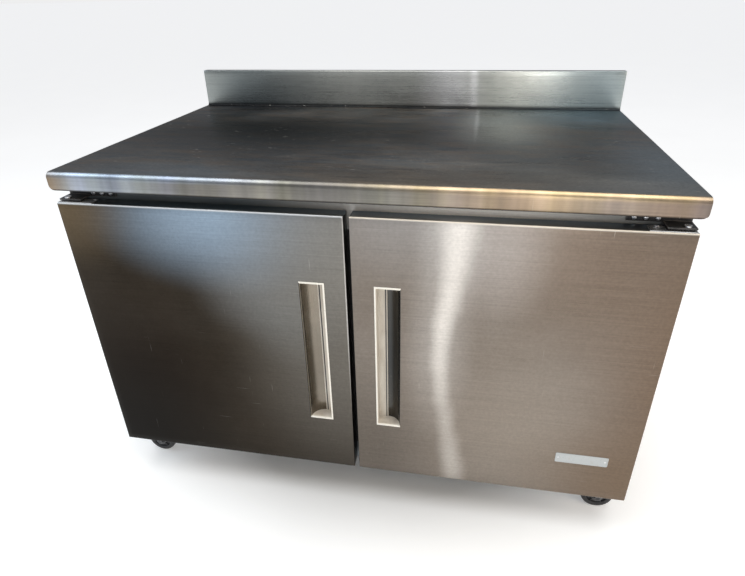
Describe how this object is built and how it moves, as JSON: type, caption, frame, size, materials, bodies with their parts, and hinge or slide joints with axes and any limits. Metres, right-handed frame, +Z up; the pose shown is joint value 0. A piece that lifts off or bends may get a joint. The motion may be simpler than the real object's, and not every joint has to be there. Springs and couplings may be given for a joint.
{
  "type": "two-door worktop refrigerator",
  "caption": "Low refrigerator on swivel casters with a worktop, a rear upstand, hinged front doors with recessed pulls, wire shelves and a rear machine bay.",
  "frame": {"origin": "centre of the footprint, on the floor", "axes": "+X to the right of a person facing the doors, +Y to the back, +Z up"},
  "size_m": [1.229, 0.765, 0.921],
  "materials": {
    "top": "satin",
    "door": "satin",
    "body": "satin",
    "galvanised": "matte",
    "scoop": "satin",
    "pull": "satin",
    "gasket": "matte",
    "liner": "satin",
    "foam": "matte",
    "board": "matte",
    "black_metal": "satin",
    "zinc": "satin",
    "tyre": "matte",
    "caster": "satin",
    "copper": "satin",
    "fan": "matte",
    "wire": "gloss",
    "fins": "satin",
    "dark_plastic": "matte",
    "pan": "matte",
    "plate": "satin"
  },
  "bodies": {
    "cabinet": {"worktop": "top", "worktop_board": "board", "upstand": "top", "side_panels": "body", "back_panel": "galvanised", "base_pan": "galvanised", "top_panel": "galvanised", "insulation": "foam", "liner": "liner", "front_frame": "body", "mullion": "black_metal", "breaker_trim": "liner", "hinge_brackets": "black_metal", "hinge_pins": "zinc", "screws": "zinc", "pilasters": "body", "shelf_clips": "zinc", "shelves": "wire", "evaporator_cover": "liner", "evaporator_coil": "fins", "evaporator_motor": "black_metal", "control_housing": "liner", "compressor": "black_metal", "compressor_feet": "tyre", "condenser_coil": "black_metal", "condenser_motor": "galvanised", "condensate_pan": "pan", "refrigerant_lines": "copper", "terminal_box": "dark_plastic", "cable_gland": "dark_plastic", "rear_grille": "galvanised", "caster_plates": "caster"},
    "left_door": {"left_door_skin": "door", "left_door_core": "foam", "left_door_liner": "liner", "left_door_gasket": "gasket", "left_pull_cup": "pull", "left_pull_scoop": "scoop", "left_hinge_plates": "zinc"},
    "right_door": {"right_door_skin": "door", "right_door_core": "foam", "right_door_liner": "liner", "right_door_gasket": "gasket", "right_pull_cup": "pull", "right_pull_scoop": "scoop", "right_hinge_plates": "zinc", "blank_plate": "plate"},
    "evaporator_fan": {"evaporator_fan": "fan"},
    "condenser_fan": {"condenser_fan": "fins"},
    "thermostat_knob": {"thermostat_knob": "dark_plastic"},
    "swivel_front_left": {"fork_front_left": "caster"},
    "wheel_front_left": {"wheel_front_left": "tyre"},
    "swivel_front_right": {"fork_front_right": "caster"},
    "wheel_front_right": {"wheel_front_right": "tyre"},
    "swivel_rear_left": {"fork_rear_left": "caster"},
    "wheel_rear_left": {"wheel_rear_left": "tyre"},
    "swivel_rear_right": {"fork_rear_right": "caster"},
    "wheel_rear_right": {"wheel_rear_right": "tyre"},
    "brake_left": {"brake_left": "caster"},
    "brake_right": {"brake_right": "caster"}
  },
  "joints": [
    {"name": "left_door_hinge", "type": "hinge", "parent": "cabinet", "child": "left_door", "pos_m": [-0.59385, -0.363, 0.43425], "axis": [0, 0, -1], "range_deg": [0, 120], "stiffness_Nm_per_rad": 2},
    {"name": "right_door_hinge", "type": "hinge", "parent": "cabinet", "child": "right_door", "pos_m": [0.59385, -0.363, 0.43425], "axis": [0, 0, 1], "range_deg": [0, 120], "stiffness_Nm_per_rad": 2},
    {"name": "evaporator_fan_spin", "type": "hinge", "parent": "cabinet", "child": "evaporator_fan", "pos_m": [-0.12, 0.172, 0.645], "axis": [0, 1, 0], "continuous": true},
    {"name": "condenser_fan_spin", "type": "hinge", "parent": "cabinet", "child": "condenser_fan", "pos_m": [0.185, 0.262, 0.232], "axis": [0, 1, 0], "continuous": true},
    {"name": "thermostat_turn", "type": "hinge", "parent": "cabinet", "child": "thermostat_knob", "pos_m": [0.17, 0.118, 0.645], "axis": [0, -1, 0], "range_deg": [0, 270]},
    {"name": "front_left_swivel", "type": "hinge", "parent": "cabinet", "child": "swivel_front_left", "pos_m": [-0.546, -0.293, 0.09], "axis": [0, 0, 1], "continuous": true},
    {"name": "front_left_roll", "type": "hinge", "parent": "swivel_front_left", "child": "wheel_front_left", "pos_m": [-0.576, -0.293, 0.0375], "axis": [0, 1, 0], "continuous": true},
    {"name": "front_right_swivel", "type": "hinge", "parent": "cabinet", "child": "swivel_front_right", "pos_m": [0.546, -0.293, 0.09], "axis": [0, 0, 1], "continuous": true},
    {"name": "front_right_roll", "type": "hinge", "parent": "swivel_front_right", "child": "wheel_front_right", "pos_m": [0.576, -0.293, 0.0375], "axis": [0, 1, 0], "continuous": true},
    {"name": "rear_left_swivel", "type": "hinge", "parent": "cabinet", "child": "swivel_rear_left", "pos_m": [-0.546, 0.293, 0.09], "axis": [0, 0, 1], "continuous": true},
    {"name": "rear_left_roll", "type": "hinge", "parent": "swivel_rear_left", "child": "wheel_rear_left", "pos_m": [-0.546, 0.323, 0.0375], "axis": [1, 0, 0], "continuous": true},
    {"name": "rear_right_swivel", "type": "hinge", "parent": "cabinet", "child": "swivel_rear_right", "pos_m": [0.546, 0.293, 0.09], "axis": [0, 0, 1], "continuous": true},
    {"name": "rear_right_roll", "type": "hinge", "parent": "swivel_rear_right", "child": "wheel_rear_right", "pos_m": [0.546, 0.323, 0.0375], "axis": [1, 0, 0], "continuous": true},
    {"name": "left_brake_press", "type": "hinge", "parent": "swivel_front_left", "child": "brake_left", "pos_m": [-0.554, -0.293, 0.079], "axis": [0, -1, 0], "range_deg": [0, 5]},
    {"name": "right_brake_press", "type": "hinge", "parent": "swivel_front_right", "child": "brake_right", "pos_m": [0.554, -0.293, 0.079], "axis": [0, 1, 0], "range_deg": [0, 5]}
  ]
}
